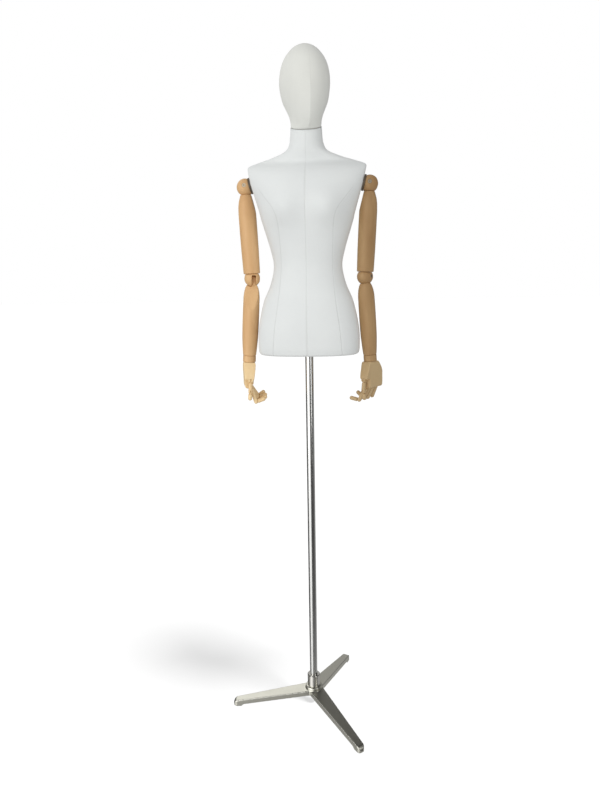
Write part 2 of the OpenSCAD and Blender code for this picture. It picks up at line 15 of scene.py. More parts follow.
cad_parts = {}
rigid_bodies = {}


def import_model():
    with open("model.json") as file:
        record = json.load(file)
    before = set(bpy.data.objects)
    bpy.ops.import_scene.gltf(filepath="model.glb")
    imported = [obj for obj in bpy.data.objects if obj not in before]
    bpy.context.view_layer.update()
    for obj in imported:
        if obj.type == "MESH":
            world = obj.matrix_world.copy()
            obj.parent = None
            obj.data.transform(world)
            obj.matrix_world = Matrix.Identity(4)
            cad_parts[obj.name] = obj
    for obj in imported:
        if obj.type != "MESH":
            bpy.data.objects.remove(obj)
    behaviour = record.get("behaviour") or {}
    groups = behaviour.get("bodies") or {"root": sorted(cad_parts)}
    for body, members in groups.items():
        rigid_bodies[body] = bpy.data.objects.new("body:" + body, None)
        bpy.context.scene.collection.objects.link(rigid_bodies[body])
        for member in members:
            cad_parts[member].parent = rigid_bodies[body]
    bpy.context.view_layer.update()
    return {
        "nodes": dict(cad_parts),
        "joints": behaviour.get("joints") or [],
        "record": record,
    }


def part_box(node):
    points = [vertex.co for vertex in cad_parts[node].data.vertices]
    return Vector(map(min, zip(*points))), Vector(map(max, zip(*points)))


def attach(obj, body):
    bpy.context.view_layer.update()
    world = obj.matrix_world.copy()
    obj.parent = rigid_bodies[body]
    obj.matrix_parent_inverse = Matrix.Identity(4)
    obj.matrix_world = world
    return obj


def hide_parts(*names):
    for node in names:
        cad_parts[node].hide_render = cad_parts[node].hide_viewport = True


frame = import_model()

MM = 0.001
RECORD = frame["record"]
JOINTS = {j["name"]: j for j in frame["joints"]}
BODY_OF = {n: b for b, nodes in RECORD["behaviour"]["bodies"].items() for n in nodes}
SLOT_OF = {p["node"]: p["material_slot"] for p in RECORD["subparts"]}
DIGITS = ("thumb", "index", "middle", "ring", "little")


def joint_at(name):
    return Vector(JOINTS[name]["pos_m"])


# ---------------------------------------------------------------- materials

class Shader:
    """A node material built with short calls."""

    def __init__(self, name):
        self.mat = bpy.data.materials.new(name)
        self.mat.use_nodes = True
        self.tree = self.mat.node_tree
        self.bsdf = self.tree.nodes["Principled BSDF"]

    def node(self, kind, inputs=(), **props):
        n = self.tree.nodes.new(kind)
        for key, value in props.items():
            setattr(n, key, value)
        for key, value in dict(inputs).items():
            self.feed(n.inputs[key], value)
        return n

    def feed(self, socket, value):
        if isinstance(value, bpy.types.NodeSocket):
            self.tree.links.new(value, socket)
        else:
            socket.default_value = value

    def set(self, **values):
        for key, value in values.items():
            self.feed(self.bsdf.inputs[key.replace("_", " ")], value)

    def math(self, op, a, b=0.0, c=0.0):
        return self.node("ShaderNodeMath", {0: a, 1: b, 2: c}, operation=op).outputs[0]

    def coords(self, scale=(1, 1, 1), source="Object", shift=None):
        out = self.node("ShaderNodeTexCoord").outputs[source]
        if shift is not None:
            tag = self.node("ShaderNodeAttribute", attribute_type="OBJECT", attribute_name=shift)
            out = self.node("ShaderNodeVectorMath", {0: out, 1: tag.outputs["Vector"]},
                            operation="ADD").outputs[0]
        return self.node("ShaderNodeMapping", {"Vector": out, "Scale": scale}).outputs[0]

    def noise(self, vector, scale, detail=2.0, rough=0.5, distort=0.0):
        n = self.node("ShaderNodeTexNoise", {"Vector": vector, "Scale": scale, "Detail": detail,
                                             "Roughness": rough, "Distortion": distort})
        return n.outputs["Fac"]

    def ramp(self, fac, low, high, to_low=0.0, to_high=1.0):
        n = self.node("ShaderNodeMapRange", {"Value": fac, "From Min": low, "From Max": high,
                                             "To Min": to_low, "To Max": to_high})
        return n.outputs["Result"]

    def blend(self, fac, a, b, mode="MIX"):
        n = self.node("ShaderNodeMix", data_type="RGBA", blend_type=mode)
        self.feed(n.inputs["Factor"], fac)
        self.feed(n.inputs["A"], a)
        self.feed(n.inputs["B"], b)
        return n.outputs["Result"]

    def bump(self, height, depth, strength=1.0, normal=None):
        n = self.node("ShaderNodeBump", {"Height": height, "Distance": depth, "Strength": strength})
        if normal is not None:
            self.feed(n.inputs["Normal"], normal)
        return n.outputs["Normal"]


def rgb(r, g, b):
    return (r, g, b, 1.0)


def wood(name, light, dark, figure, coat=0.12):
    """Sanded beech: growth bands, long streaks and short dark flecks along the local Z axis."""
    s = Shader(name)
    bands_at = s.coords((1.0, 1.0, 0.06), shift="grain_shift")
    bands = s.node("ShaderNodeTexWave", {"Vector": bands_at, "Scale": 34.0, "Distortion": 3.2,
                                         "Detail": 2.0, "Detail Scale": 14.0},
                   wave_type="RINGS", rings_direction="Z", wave_profile="SAW").outputs["Fac"]
    streaks = s.noise(s.coords((1, 1, 0.035), shift="grain_shift"), 620.0, 4.0, 0.6)
    broad = s.noise(s.coords((1, 1, 0.22), shift="grain_shift"), 26.0, 2.0, 0.5, 0.4)
    fleck = s.ramp(s.noise(s.coords((1, 1, 0.22), shift="grain_shift"), 1500.0, 1.0), 0.66, 0.72)
    tone = s.blend(s.ramp(broad, 0.3, 0.7), light, dark)
    tone = s.blend(s.math("MULTIPLY", bands, figure), tone, dark)
    tone = s.blend(s.ramp(streaks, 0.35, 0.75, 0.0, 0.38), tone, dark)
    deep = rgb(dark[0] * 0.55, dark[1] * 0.5, dark[2] * 0.45)
    tone = s.blend(s.math("MULTIPLY", fleck, 0.28), tone, deep)
    edge = s.ramp(s.node("ShaderNodeNewGeometry").outputs["Pointiness"], 0.52, 0.6, 0.0, 0.25)
    tone = s.blend(edge, tone, rgb(min(light[0] * 1.2, 1), min(light[1] * 1.2, 1), light[2] * 1.25))
    s.set(Base_Color=tone, Roughness=s.ramp(streaks, 0.2, 0.8, 0.46, 0.6), Coat_Weight=coat,
          Coat_Roughness=0.35, IOR=1.45)
    s.set(Normal=s.bump(streaks, 0.00012, 0.5, s.bump(fleck, 0.00006, 0.4)))
    return s.mat


def cloth(name, light, shade):
    """Tight plain-weave cotton with a soft sheen; UV runs in metres around and up the form."""
    s = Shader(name)
    pitch = 0.0009
    uv = s.node("ShaderNodeSeparateXYZ", {0: s.coords(source="UV")})
    turn = 2 * math.pi / pitch
    warp = s.math("SINE", s.math("MULTIPLY", uv.outputs["X"], turn))
    weft = s.math("SINE", s.math("MULTIPLY", uv.outputs["Y"], turn))
    weave = s.math("MULTIPLY", warp, weft)
    slub = s.noise(s.coords((40, 600, 1), "UV"), 1.0, 2.0)
    broad = s.noise(s.coords(), 7.0, 3.0, 0.5)
    seam = s.node("ShaderNodeAttribute", attribute_name="seam").outputs["Fac"]
    tone = s.blend(s.ramp(broad, 0.3, 0.7), light, shade)
    tone = s.blend(s.ramp(slub, 0.4, 0.8, 0.0, 0.10), tone, rgb(shade[0] * .9, shade[1] * .9, shade[2] * .9))
    tone = s.blend(s.ramp(weave, -1.0, 1.0, 0.05, 0.0), tone, rgb(.45, .45, .43))
    # painted shade: the seam mark darkens the grooves and the rolled edges, standing in for the shade in
    # them
    tone = s.blend(s.math("MULTIPLY", seam, 0.30), tone, rgb(.42, .42, .40))
    stitch = s.ramp(s.math("SINE", s.math("MULTIPLY", uv.outputs["Y"], 2 * math.pi / 0.003)),
                    0.0, 0.4)
    stitched = s.math("MULTIPLY", s.math("MULTIPLY", stitch, seam), 0.6)
    height = s.math("ADD", s.math("MULTIPLY", weave, 0.5), s.math("ADD", slub, stitched))
    s.set(Base_Color=tone, Roughness=0.86, Sheen_Weight=0.18, Sheen_Roughness=0.55,
          Sheen_Tint=rgb(0.95, 0.97, 1.0), Normal=s.bump(height, 0.00012, 0.45))
    s.bsdf.inputs["Specular IOR Level"].default_value = 0.25
    return s.mat


def metal(name, color, rough, brush=(1, 1, 1), brush_scale=900.0, tone=0.12, edge_wear_and_highlight=0.0):
    """Brushed or cast steel; "brush" squeezes the noise so that scratches run along an axis."""
    s = Shader(name)
    lines = s.noise(s.coords(brush), brush_scale, 3.0, 0.6)
    cloud = s.noise(s.coords(), 18.0, 3.0, 0.6)
    dark = rgb(color[0] * (1 - tone), color[1] * (1 - tone), color[2] * (1 - tone * 1.1))
    base = s.blend(s.ramp(lines, 0.3, 0.7), color, dark)
    base = s.blend(s.ramp(cloud, 0.35, 0.7, 0.0, 0.5), base, dark)
    if edge_wear_and_highlight:
        # lighter convex edges: part wear, part painted highlight
        edge = s.ramp(s.node("ShaderNodeNewGeometry").outputs["Pointiness"], 0.51, 0.56, 0.0, edge_wear_and_highlight)
        base = s.blend(edge, base, rgb(0.92, 0.91, 0.88))
    s.set(Base_Color=base, Metallic=1.0,
          Roughness=s.math("ADD", s.ramp(lines, 0.2, 0.8, rough - 0.05, rough + 0.06),
                           s.ramp(cloud, 0.3, 0.7, 0.0, 0.04)),
          Normal=s.bump(lines, 0.00005, 0.35))
    return s.mat


def moulded(name, color, rough, grain):
    """Moulded plastic or rubber with a fine leathery texture."""
    s = Shader(name)
    spots = s.noise(s.coords(), grain, 3.0, 0.6)
    lighter = rgb(color[0] * 1.5 + .01, color[1] * 1.5 + .01, color[2] * 1.5 + .01)
    s.set(Base_Color=s.blend(s.ramp(spots, 0.3, 0.8, 0.0, 0.5), color, lighter),
          Roughness=s.ramp(spots, 0.2, 0.8, rough - 0.08, rough + 0.08),
          Normal=s.bump(spots, 0.0001, 0.5))
    return s.mat


def board(name):
    """Birch board: thin glued layers on the rim and a pale streaked face."""
    s = Shader(name)
    up = s.node("ShaderNodeSeparateXYZ", {0: s.coords()}).outputs["Z"]
    plies = s.ramp(s.math("SINE", s.math("MULTIPLY", up, 2 * math.pi / 0.003)), -0.2, 0.2)
    rim = s.math("SUBTRACT", 1.0, s.math("ABSOLUTE", s.node(
        "ShaderNodeSeparateXYZ", {0: s.node("ShaderNodeNewGeometry").outputs["Normal"]}).outputs["Z"]))
    streaks = s.noise(s.coords((0.05, 1, 1)), 420.0, 4.0, 0.6)
    tone = s.blend(s.ramp(streaks, 0.3, 0.7), rgb(.62, .47, .30), rgb(.50, .35, .20))
    tone = s.blend(s.math("MULTIPLY", s.math("MULTIPLY", plies, rim), 0.5), tone, rgb(.30, .19, .10))
    s.set(Base_Color=tone, Roughness=0.62, Normal=s.bump(streaks, 0.0001, 0.5))
    return s.mat


MATERIALS = {
    # the base, hardware and arm bolt metals get lightened edges, part wear and part painted highlight
    "base_metal": metal("satin_nickel", rgb(.60, .59, .52), 0.30, (1, 1, 1), 1400.0, 0.08, 0.55),
    "collar_metal": metal("collar_nickel", rgb(.64, .625, .59), 0.24, (1, 1, 12), 260.0, 0.1),
    "pole_metal": metal("brushed_pole", rgb(.60, .60, .59), 0.20, (1, 1, 0.02), 1500.0, 0.1),
    "zinc_hardware": metal("zinc_plate", rgb(.66, .66, .66), 0.30, (1, 1, 1), 800.0, 0.1, 0.3),
    "rubber_pads": moulded("rubber", rgb(.03, .03, .03), 0.75, 700.0),
    "black_plastic": moulded("black_plastic", rgb(.022, .022, .022), 0.45, 900.0),
    "cover_cloth": cloth("cover_cloth", rgb(.735, .755, .745), rgb(.70, .72, .715)),
    "board_wood": board("birch_board"),
    "arm_wood": wood("arm_beech", rgb(.74, .48, .235), rgb(.60, .35, .155), 0.22),
    "hand_wood": wood("hand_beech", rgb(.90, .70, .40), rgb(.80, .57, .30), 0.16),
    "pin_wood": wood("pin_walnut", rgb(.20, .10, .045), rgb(.10, .05, .02), 0.3),
}
# painted shade: darker copies of the arm and hand wood for the left arm and hand, which stand in shade
SHADED_LEFT_WOOD = {
    "arm_wood": wood("left_arm_beech", rgb(.60, .385, .18), rgb(.48, .28, .12), 0.22),
    "hand_wood": wood("left_hand_beech", rgb(.77, .59, .33), rgb(.68, .48, .25), 0.16),
}
HEAD_CLOTH = cloth("head_cloth", rgb(.735, .742, .70), rgb(.70, .705, .66))
ARM_BOLT = metal("worn_brass", rgb(.40, .31, .19), 0.36, (1, 1, 1), 800.0, 0.12, 0.2)
# painted shade: the shoulder discs are coloured dark brown to stand in for the shade between shoulder ball
# and armhole
SHADED_DISC_WOOD = wood("disc_walnut", rgb(.13, .10, .065), rgb(.07, .05, .035), 0.3)


def new_object(name, mesh, body, slot, material=None, matrix=None):
    obj = bpy.data.objects.new(name, mesh)
    bpy.context.scene.collection.objects.link(obj)
    obj.matrix_world = matrix or Matrix.Identity(4)
    mesh.materials.clear()
    mesh.materials.append(material or MATERIALS[slot])
    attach(obj, body)
    return obj


def grain_shift(obj, number):
    """A different stretch of the same plank for every wooden piece."""
    obj["grain_shift"] = (0.031 * math.sin(number * 2.1), 0.027 * math.cos(number * 1.7),
                          0.37 * number)


# ---------------------------------------------------------------- smooth curves through stations

def hermite(rows, t):
    """Point on a smooth curve through equally weighted rows; t runs from 0 to len(rows) - 1."""
    rows = np.asarray(rows, float)
    last = len(rows) - 1
    i = int(min(max(math.floor(t), 0), last - 1))
    u = t - i
    before = rows[max(i - 1, 0)]
    after = rows[min(i + 2, last)]
    a, b = rows[i], rows[i + 1]
    step = np.linalg.norm(b[:2] - a[:2])
    back = max(np.linalg.norm(a[:2] - before[:2]), 1e-9)
    ahead = max(np.linalg.norm(after[:2] - b[:2]), 1e-9)
    ma = (b - before) / (step + (back if i > 0 else 0)) * step
    mb = (after - a) / (step + (ahead if i + 2 <= last else 0)) * step
    return ((2 * u ** 3 - 3 * u ** 2 + 1) * a + (u ** 3 - 2 * u ** 2 + u) * ma
            + (3 * u ** 2 - 2 * u ** 3) * b + (u ** 3 - u ** 2) * mb)


def stations(rows, spacing):
    """Rows resampled so that neighbours are about "spacing" apart along the outline."""
    out = []
    for i in range(len(rows) - 1):
        gap = math.dist(rows[i][:2], rows[i + 1][:2])
        n = max(1, round(gap / spacing))
        out += [hermite(rows, i + j / n) for j in range(n)]
    return out + [np.array(rows[-1], float)]


def at_height(rows, z):
    """Value at height z on a smooth curve through (height, value) rows."""
    z = min(max(z, rows[0][0]), rows[-1][0])
    i = max(k for k in range(len(rows) - 1) if rows[k][0] <= z)
    (za, a), (zb, b) = rows[i], rows[i + 1]
    zp, p = rows[max(i - 1, 0)]
    zn, q = rows[min(i + 2, len(rows) - 1)]
    u = (z - za) / (zb - za)
    ma, mb = (b - p) / (zb - zp) * (zb - za), (q - a) / (zn - za) * (zb - za)
    return ((2 * u ** 3 - 3 * u ** 2 + 1) * a + (u ** 3 - 2 * u ** 2 + u) * ma
            + (3 * u ** 2 - 2 * u ** 3) * b + (u ** 3 - u ** 2) * mb)


def ease(z, low, high):
    t = min(max((z - low) / (high - low), 0.0), 1.0)
    return t * t * (3 - 2 * t)


def power(v, n):
    return math.copysign(abs(v) ** (2 / n), v)


# ---------------------------------------------------------------- torso cover

# Millimetres: height, half width, depth to the front, depth to the back, squareness
HEM_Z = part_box("torso_shell")[0].z / MM
NECK = joint_at("head_turn") / MM
NECK_TILT = math.tan(math.radians(20))
TORSO_ROWS = [
    (HEM_Z, 153.5, 94, 98, 2.5), (1245, 155, 98, 103, 2.5), (1290, 153.5, 101, 107, 2.4),
    (1335, 146, 98, 104, 2.3), (1380, 134.5, 92, 96, 2.2), (1430, 113.5, 83, 87, 2.1),
    (1483, 102.5, 77, 80, 2.05), (1530, 111, 82, 82, 2.05), (1584, 127, 93, 88, 2.1),
    (1620, 137.5, 101, 92, 2.2), (1650, 146, 104, 94, 2.2), (1680, 156.5, 101, 95, 2.2),
    (1712, 168, 92, 92, 2.2), (1738, 176.5, 78, 82, 2.1), (1756, 178.5, 61, 66, 1.9),
    (1767, 171, 46, 52, 1.65), (1776, 147, 40, 46, 1.45), (1791, 98, 43, 47, 1.6),
    (1807, 61, 46, 47, 1.95), (1825, 50, 45, 45, 2), (1845, 46.5, 43.7, 43.7, 2),
    (NECK.z - 0.5, 45, 42.3, 42.3, 2)]
SHELL = 4.6               # thickness of the modelled shell
HEM_ROUND = 9.0           # radius of the turned hem
ARM_FACE = 20.7           # from the shoulder ball's centre to the armhole face
BUST_X, BUST_Z, BUST_FULLNESS = 66, 1640, 17
SEAM_TOP = 1712           # the curved front and back seams end at the armhole
SEAM_TOP_ROW = [row[0] for row in TORSO_ROWS].index(SEAM_TOP)
FRONT_SEAM = [(1218, 103), (1290, 97), (1380, 84), (1480, 75), (1560, 77), (1612, 81),
              (1640, 92), (1668, 113), (1690, 130), (1712, 146)]
BACK_SEAM = [(1218, 92), (1300, 84), (1400, 68), (1480, 58), (1560, 64), (1640, 84),
             (1680, 112), (1712, 142)]
CRISP = (0.012, 0.026, 0.055)   # extra columns beside a seam, as parts of a panel
PANEL_COLUMNS = 12


def bust(x, z):
    return BUST_FULLNESS * math.exp(-((abs(x) - BUST_X) / 44) ** 2 - ((z - BUST_Z) / 42) ** 2)


def armhole_x(z, inset):
    """Where the flat armhole face cuts the form at height z; it doesn't reach the waist."""
    swing = JOINTS["left_shoulder_swing"]
    n = -Vector(swing["axis"])
    centre = Vector(swing["pos_m"]) / MM
    foot = centre - n * (ARM_FACE + inset)
    clear = 400 * (1 - ease(z, 1565, 1625))
    return foot.x - n.z / n.x * (z - foot.z) + clear


def soft_min(a, b, k):
    h = max(k - abs(a - b), 0.0) / k
    return min(a, b) - h * h * k / 4


def seam_turn(x, a, n):
    return math.acos(min((x / a) ** (n / 2), 0.999))


def torso_columns(z, a, n):
    """Turn angle of every column and whether it lies on a seam."""
    if z > SEAM_TOP:
        z = SEAM_TOP
        a, n = TORSO_ROWS[SEAM_TOP_ROW][1], TORSO_ROWS[SEAM_TOP_ROW][4]
    else:
        a = max(a, at_height(FRONT_SEAM, z) * 1.02)
    front = seam_turn(at_height(FRONT_SEAM, z), a, n)
    back = seam_turn(at_height(BACK_SEAM, z), a, n)
    half = math.pi / 2
    marks = [0, back, half, math.pi - back, math.pi, math.pi + front, math.pi + half,
             2 * math.pi - front, 2 * math.pi]
    parts = [0.0, *CRISP, *[0.1 + 0.8 * i / (PANEL_COLUMNS - 1) for i in range(PANEL_COLUMNS)],
             *[1 - c for c in reversed(CRISP)]]
    turns, kinds = [], []
    for m in range(8):
        for p in parts:
            turns.append(marks[m] + (marks[m + 1] - marks[m]) * p)
            near = min(p, 1 - p)
            kinds.append((m if p < 0.5 else (m + 1) % 8, near))
    return turns, kinds


def seam_profile(near, strength):
    """Depth of a seam's groove and its painted shade by distance from the seam."""
    if near == 0:
        return -0.75 * strength, strength
    if near <= CRISP[0]:
        return -0.15 * strength, 0.45 * strength
    if near <= CRISP[1]:
        return 0.32 * strength, 0.0
    if near <= CRISP[2]:
        return 0.14 * strength, 0.0
    return 0.0, 0.0


def seam_strength(m, z):
    """Seams 1, 3, 5 and 7 are the curved ones that end at the armhole."""
    if m % 2:
        return 1 - ease(z, SEAM_TOP - 26, SEAM_TOP - 8)
    if m in (0, 4):
        return (1 - ease(z, 1640, 1668)) * 0.8 + ease(z, 1772, 1782) * 0.8
    return 0.8


def torso_point(row, turn, inset, lift):
    z, a, f, b, n = row
    a, f, b = a - inset + lift, f - inset + lift, b - inset + lift
    x = a * power(math.cos(turn), n)
    d = power(math.sin(turn), n)
    y = d * (f + bust(x, z)) if d < 0 else d * b
    side = math.copysign(1.0, x)
    x = side * soft_min(abs(x), armhole_x(z, inset - lift * 0.3), 5.0)
    fall = NECK_TILT * ease(z, 1800, 1860)
    drop = 1.5 * inset * ease(z, 1690, 1750)
    return Vector((x, y, z + y * fall - drop))


def relief(p):
    """Faint unevenness of stretched cloth, in millimetres."""
    return 0.35 * noise.noise(p * 0.016) + 0.10 * noise.noise(p * 0.06)


def lofted(name, rings, marks, body, slot, material, close_top=False):
    """Mesh through rings of points (mm), closed at the top or joined back to its first ring."""
    count = len(rings[0])
    verts = [p * MM for ring in rings for p in ring]
    faces = [(j * count + i, j * count + (i + 1) % count, (j + 1) * count + (i + 1) % count,
              (j + 1) * count + i) for j in range(len(rings) - 1) for i in range(count)]
    last = (len(rings) - 1) * count
    if close_top:
        verts.append(sum(rings[-1], Vector()) / count * MM)
        faces += [(last + i, last + (i + 1) % count, len(verts) - 1) for i in range(count)]
    else:
        faces += [(last + i, last + (i + 1) % count, (i + 1) % count, i) for i in range(count)]
    mesh = bpy.data.meshes.new(name)
    mesh.from_pydata(verts, [], faces)
    seam = mesh.attributes.new("seam", "FLOAT", "POINT")
    values = [v for ring in marks for v in ring]
    seam.data.foreach_set("value", values + [0.0] * (len(verts) - len(values)))
    uv = mesh.uv_layers.new(name="weave")
    around = np.zeros(len(verts))
    upward = np.zeros(len(verts))
    height = 0.0
    for j, ring in enumerate(rings):
        run = 0.0
        if j:
            height += (ring[0] - rings[j - 1][0]).length * MM
        for i in range(count):
            if i:
                run += (ring[i] - ring[i - 1]).length * MM
            around[j * count + i] = run
            upward[j * count + i] = height
    for poly in mesh.polygons:
        loops = list(poly.loop_indices)
        ids = [mesh.loops[k].vertex_index for k in loops]
        for k, v in zip(loops, ids):
            u = around[v]
            if v % count == 0 and v < len(values) and any(w % count == count - 1 for w in ids):
                u = around[v + count - 1] + (rings[v // count][0] - rings[v // count][-1]).length * MM
            uv.data[k].uv = (u, upward[v])
    mesh.shade_smooth()
    mesh.validate()
    return new_object(name, mesh, body, slot, material)


def torso_cover():
    rows = stations(TORSO_ROWS, 5.0)
    rings, marks = [], []
    # turned hem: from the inner lip round and out to the side
    steps = 7
    for k in range(steps):
        bend = math.pi / 2 * k / (steps - 1)
        inward = HEM_ROUND * (1 - math.sin(bend))
        up = HEM_ROUND * (1 - math.cos(bend))
        row = hermite(TORSO_ROWS, 0.0).copy()
        turns, columns = torso_columns(HEM_Z, row[1], row[4])
        ring, mark = [], []
        for t, (m, near) in zip(turns, columns):
            lift, dark = seam_profile(near, seam_strength(m, HEM_Z) * math.sin(bend))
            p = torso_point(row, t, inward, lift)
            p.z = HEM_Z + up
            ring.append(p)
            mark.append(dark)
        rings.append(ring)
        marks.append(mark)
    for row in rows:
        z = row[0]
        if z < HEM_Z + HEM_ROUND + 3:
            continue
        turns, columns = torso_columns(z, row[1], row[4])
        ring, mark = [], []
        for t, (m, near) in zip(turns, columns):
            lift, dark = seam_profile(near, seam_strength(m, z))
            p = torso_point(row, t, 0.0, lift)
            p += Vector((p.x, p.y, 0)).normalized() * relief(p) * (1 - ease(z, 1860, 1871))
            ring.append(p)
            mark.append(dark)
        rings.append(ring)
        marks.append(mark)
    # rolled neck edge, then the inner surface back down to the hem
    top = rows[-1]
    turns, _ = torso_columns(top[0], top[1], top[4])
    for inward, up in ((0.5, 0.35), (1.4, 0.5), (SHELL, 0.3)):
        rings.append([torso_point(top, t, inward, 0.0) + Vector((0, 0, 1.5 * inward + up - 0.6))
                      for t in turns])
        # painted shade along the rolled neck edge
        marks.append([0.25] * len(turns))
    for row in reversed(stations(TORSO_ROWS, 14.0)):
        if row[0] < HEM_Z + HEM_ROUND + 6:
            continue
        turns, _ = torso_columns(row[0], row[1], row[4])
        rings.append([torso_point(row, t, SHELL, 0.0) for t in turns])
        marks.append([0.0] * len(turns))
    row = hermite(TORSO_ROWS, 0.0)
    turns, _ = torso_columns(HEM_Z, row[1], row[4])
    rings.append([torso_point(row, t, HEM_ROUND + 1.0, 0.0) + Vector((0, 0, 4)) for t in turns])
    marks.append([0.0] * len(turns))
    cover = lofted("torso_cover", rings, marks, "torso", "cover_cloth", MATERIALS["cover_cloth"])
    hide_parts("torso_shell")


# ---------------------------------------------------------------- head cover

HEAD_ROWS = [
    (NECK.z + 0.6, 44, 41.5, 41.5, 2), (1889, 45, 53, 50, 2), (1905, 49.5, 66, 60, 2),
    (1920, 56.5, 77, 69, 2), (1935, 63, 85, 77, 2.05), (1951, 67, 90, 84, 2.1),
    (1968, 70, 93, 89, 2.1), (1987, 71.5, 94, 93, 2.1), (2008, 70, 91, 94, 2.1),
    (2028, 66, 85, 91, 2.05), (2045, 59.5, 76, 84, 2), (2060, 50, 63, 71, 2),
    (2074, 37, 46, 53, 2), (2083, 22, 28, 32, 2), (2088.2, 6.5, 9, 10, 2)]
HEAD_YAW = math.radians(14)
HEAD_CRISP = (0.008, 0.018, 0.036)
FACE_SEAM = 3             # of the four seams over the head, the one down the face


def head_point(row, turn, inset, lift):
    z, a, f, b, n = row
    a, f, b = (max(v - inset + lift, 0.5) for v in (a, f, b))
    x = a * power(math.cos(turn), n)
    d = power(math.sin(turn), n)
    y = d * (f if d < 0 else b)
    fall = NECK_TILT * (1 - ease(z, 1880, 1960))
    drop = 1.5 * inset * ease(z, 1992, 2062)
    px = x * math.cos(HEAD_YAW) - y * math.sin(HEAD_YAW)
    py = x * math.sin(HEAD_YAW) + y * math.cos(HEAD_YAW)
    return Vector((px - 3 * ease(z, 1880, 1990), py, z + py * fall - drop))


def head_columns():
    parts = [0.0, *HEAD_CRISP, *[0.07 + 0.86 * i / 19 for i in range(20)],
             *[1 - c for c in reversed(HEAD_CRISP)]]
    turns, kinds = [], []
    for m in range(4):
        for p in parts:
            turns.append(math.pi / 2 * (m + p))
            kinds.append((m if p < 0.5 else (m + 1) % 4, min(p, 1 - p)))
    return turns, kinds


def nose_ridge(turn, z):
    """Soft ridge down the front where the cover's two halves meet over the face."""
    off = abs((turn - 1.5 * math.pi + math.pi) % (2 * math.pi) - math.pi)
    length = ease(z, 1868, 1890) * (1 - ease(z, 1962, 1984))
    cheek = math.exp(-(off / 0.5) ** 2) * ease(z, 1874, 1900) * (1 - ease(z, 1930, 1985))
    return 3.4 * math.exp(-off / 0.17) * length + 2.4 * cheek


def head_cover():
    turns, columns = head_columns()
    rings, marks = [], []
    first = HEAD_ROWS[0]
    for inward, up in ((6.0, -0.2), (2.0, -0.3), (0.7, -0.1), (0.1, 0.6)):
        rings.append([head_point(first, t, inward, 0.0) + Vector((0, 0, up)) for t in turns])
        # painted shade along the head's turned-in lower edge
        marks.append([0.25] * len(turns))
    for row in stations(HEAD_ROWS, 4.0)[1:]:
        z = row[0]
        ring, mark = [], []
        for t, (m, near) in zip(turns, columns):
            strength = 0.7 * (1 - ease(z, 2071, 2086))
            if m == FACE_SEAM:
                strength *= 0.55 + 0.45 * (1 - ease(z, 1971, 1991))
            groove, dark = 0.0, 0.0
            # the seam's groove and its painted shade
            if near == 0:
                groove, dark = -0.6 * strength, strength
            elif near <= HEAD_CRISP[0]:
                groove, dark = -0.1 * strength, 0.4 * strength
            elif near <= HEAD_CRISP[1]:
                groove = 0.22 * strength
            p = head_point(row, t, 0.0, groove + nose_ridge(t, z))
            p += Vector((p.x, p.y, 0)).normalized() * relief(p) * 0.8 * ease(z, 1874, 1884)
            ring.append(p)
            mark.append(dark)
        rings.append(ring)
        marks.append(mark)
    cover = lofted("head_cover", rings, marks, "head", "cover_cloth", HEAD_CLOTH, close_top=True)
    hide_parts("head_shell")


# ---------------------------------------------------------------- sanded wooden parts

def welded_copy(node):
    mesh = frame["nodes"][node].data.copy()
    bm = bmesh.new()
    bm.from_mesh(mesh)
    bmesh.ops.remove_doubles(bm, verts=bm.verts, dist=1e-6)
    bm.to_mesh(mesh)
    bm.free()
    return mesh


def centre_of(node):
    co = np.array([v.co for v in frame["nodes"][node].data.vertices], float)
    return Vector(co.mean(0))


def limb_frame(origin, towards, across):
    """Matrix whose Z points back along the limb and whose X follows the joint's pin."""
    z = (origin - towards).normalized()
    x = (across - z * across.dot(z)).normalized()
    m = Matrix((x, z.cross(x), z)).transposed().to_4x4()
    m.translation = origin
    return m


def rounded(mesh, voxel, passes):
    """The same solid with every edge sanded round."""
    obj = bpy.data.objects.new("sanding", mesh)
    bpy.context.scene.collection.objects.link(obj)
    remesh = obj.modifiers.new("remesh", "REMESH")
    remesh.mode = "VOXEL"
    remesh.voxel_size = voxel
    soften = obj.modifiers.new("soften", "SMOOTH")
    soften.factor = 0.5
    soften.iterations = passes
    graph = bpy.context.evaluated_depsgraph_get()
    result = bpy.data.meshes.new_from_object(obj.evaluated_get(graph))
    bpy.data.objects.remove(obj)
    result.shade_smooth()
    return result


grain_numbers = itertools.count(1)


def sanded(node, matrix, voxel, passes):
    mesh = welded_copy(node)
    mesh.transform(matrix.inverted())
    result = rounded(mesh, voxel * MM, passes)
    result.name = node + "_wood"
    # left pieces get the darker wood, painted shade for the shade they stand in
    material = SHADED_LEFT_WOOD[SLOT_OF[node]] if node.startswith("left_") else None
    obj = new_object(node + "_wood", result, BODY_OF[node], SLOT_OF[node], material, matrix)
    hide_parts(node)
    grain_shift(obj, next(grain_numbers))


